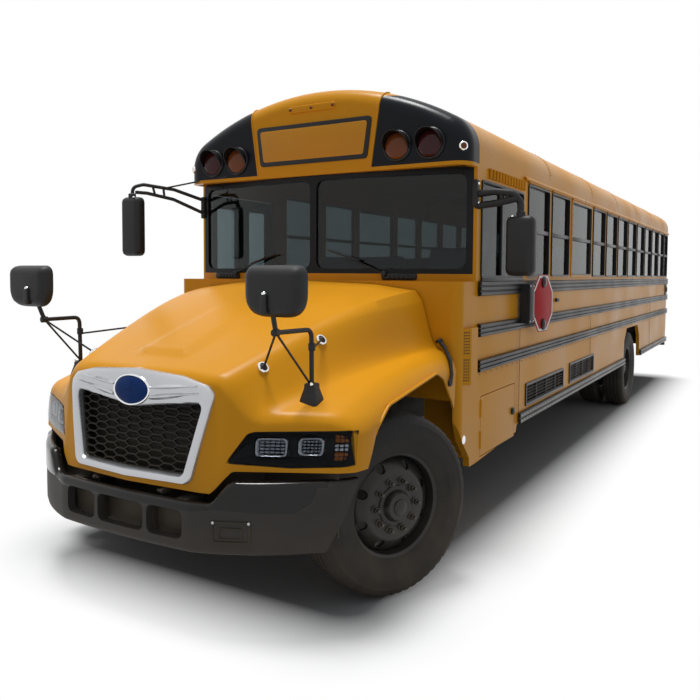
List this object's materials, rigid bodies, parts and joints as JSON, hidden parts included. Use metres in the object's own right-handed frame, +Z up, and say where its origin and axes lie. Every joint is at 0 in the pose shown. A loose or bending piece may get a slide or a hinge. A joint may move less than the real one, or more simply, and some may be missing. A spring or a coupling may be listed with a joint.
{
  "type": "school bus",
  "caption": "Yellow conventional school bus with a sculpted tilting nose, honeycomb grille, black rub rails, folding entrance door, stop arm and steered front wheels.",
  "frame": {"origin": "on the ground, midway along and across the bus", "axes": "+Z up, front of the bus towards -Y, driver's left side towards +X"},
  "size_m": [3.195, 11.907, 3.1848],
  "materials": {
    "yellow_paint": "gloss school bus yellow paint",
    "black_paint": "satin black paint",
    "chassis_black": "matt black chassis paint",
    "cast_metal": "bare cast metal",
    "steel": "plain steel",
    "tyre_rubber": "black tyre rubber",
    "wheel_black": "gloss black paint",
    "tinted_glass": "dark tinted glass",
    "clear_glass": "lightly tinted glass",
    "black_plastic": "textured black plastic",
    "silver_trim": "satin silver trim",
    "headlamp_glass": "clear lamp cover",
    "amber_lens": "amber lamp lens",
    "red_lens": "red lamp lens",
    "stop_red": "red reflective sheet with a white edge",
    "seat_vinyl": "dark seat vinyl",
    "floor_rubber": "ribbed black floor covering",
    "bumper_black": "gloss black paint"
  },
  "bodies": {
    "bus": {"frame_rails": "chassis_black", "tow_eyes": "chassis_black", "front_axle": "chassis_black", "rear_axle": "chassis_black", "leaf_springs": "chassis_black", "engine": "cast_metal", "driveline": "steel", "fuel_tank": "chassis_black", "exhaust": "steel", "floor_pan": "floor_rubber", "side_wall_left": "yellow_paint", "side_wall_right": "yellow_paint", "entrance_frame": "yellow_paint", "roof": "yellow_paint", "front_cap": "yellow_paint", "windshield_frame": "yellow_paint", "windshield": "tinted_glass", "cabin_glass": "tinted_glass", "cowl": "yellow_paint", "rear_wall": "yellow_paint", "rub_rails": "black_paint", "front_bumper": "bumper_black", "rear_bumper": "black_paint", "skirt_grilles": "black_plastic", "side_mirrors": "black_plastic", "lamp_visors": "black_plastic", "lenses_amber": "amber_lens", "lenses_red": "red_lens", "seats": "seat_vinyl", "seat_backs": "seat_vinyl", "dashboard": "black_plastic", "stop_arm_box": "black_plastic"},
    "hood": {"hood": "yellow_paint", "grille_surround": "silver_trim", "grille_mesh": "black_plastic", "headlights": "headlamp_glass", "fender_mirrors": "black_plastic"},
    "knuckle_left": {"knuckle_left": "cast_metal"},
    "knuckle_right": {"knuckle_right": "cast_metal"},
    "front_wheel_left": {"front_tyre_left": "tyre_rubber", "front_wheel_left": "wheel_black"},
    "front_wheel_right": {"front_tyre_right": "tyre_rubber", "front_wheel_right": "wheel_black"},
    "rear_wheels_left": {"rear_tyres_left": "tyre_rubber", "rear_wheels_left": "wheel_black"},
    "rear_wheels_right": {"rear_tyres_right": "tyre_rubber", "rear_wheels_right": "wheel_black"},
    "entrance_front": {"entrance_leaf_front": "black_paint", "entrance_glass_front": "clear_glass"},
    "entrance_rear": {"entrance_leaf_rear": "black_paint", "entrance_glass_rear": "clear_glass"},
    "emergency_door": {"emergency_door": "yellow_paint", "emergency_glass": "tinted_glass"},
    "battery_door": {"battery_door": "yellow_paint"},
    "stop_arm": {"stop_sign": "stop_red"}
  },
  "joints": [
    {"name": "steer_left", "type": "hinge", "parent": "bus", "child": "knuckle_left", "pos_m": [0.91, -4.8585, 0.525], "axis": [0, 0, 1], "range_deg": [-16.5, 67.5]},
    {"name": "steer_right", "type": "hinge", "parent": "bus", "child": "knuckle_right", "pos_m": [-0.91, -4.8585, 0.525], "axis": [0, 0, 1], "range_deg": [-16.5, 67.5]},
    {"name": "front_wheel_left_spin", "type": "hinge", "parent": "knuckle_left", "child": "front_wheel_left", "pos_m": [1.05893, -4.92953, 0.525], "axis": [0.9026, -0.4305, 0], "continuous": true},
    {"name": "front_wheel_right_spin", "type": "hinge", "parent": "knuckle_right", "child": "front_wheel_right", "pos_m": [-1.05893, -4.78747, 0.525], "axis": [0.9026, -0.4305, 0], "continuous": true},
    {"name": "rear_wheels_left_spin", "type": "hinge", "parent": "bus", "child": "rear_wheels_left", "pos_m": [0.8765, 2.2535, 0.525], "axis": [1, 0, 0], "continuous": true},
    {"name": "rear_wheels_right_spin", "type": "hinge", "parent": "bus", "child": "rear_wheels_right", "pos_m": [-0.8765, 2.2535, 0.525], "axis": [1, 0, 0], "continuous": true},
    {"name": "hood_tilt", "type": "hinge", "parent": "bus", "child": "hood", "pos_m": [0, -5.8885, 0.702], "axis": [1, 0, 0], "range_deg": [0, 60]},
    {"name": "entrance_front_swing", "type": "hinge", "parent": "bus", "child": "entrance_front", "pos_m": [-1.219, -3.8745, 1.47], "axis": [0, 0, 1], "range_deg": [0, 90]},
    {"name": "entrance_rear_swing", "type": "hinge", "parent": "bus", "child": "entrance_rear", "pos_m": [-1.219, -3.0085, 1.47], "axis": [0, 0, -1], "range_deg": [0, 90]},
    {"name": "emergency_door_swing", "type": "hinge", "parent": "bus", "child": "emergency_door", "pos_m": [-0.332, 5.8445, 1.73], "axis": [0, 0, 1], "range_deg": [0, 110]},
    {"name": "battery_door_swing", "type": "hinge", "parent": "bus", "child": "battery_door", "pos_m": [1.219, -3.8155, 0.775], "axis": [0, 0, -1], "range_deg": [0, 100]},
    {"name": "stop_arm_swing", "type": "hinge", "parent": "bus", "child": "stop_arm", "pos_m": [1.29, -2.8905, 1.605], "axis": [0, 0, -1], "range_deg": [0, 86]}
  ],
  "couplings": [
    {"joint": "steer_right", "follows": "steer_left", "ratio": 1},
    {"joint": "entrance_rear_swing", "follows": "entrance_front_swing", "ratio": 1}
  ]
}
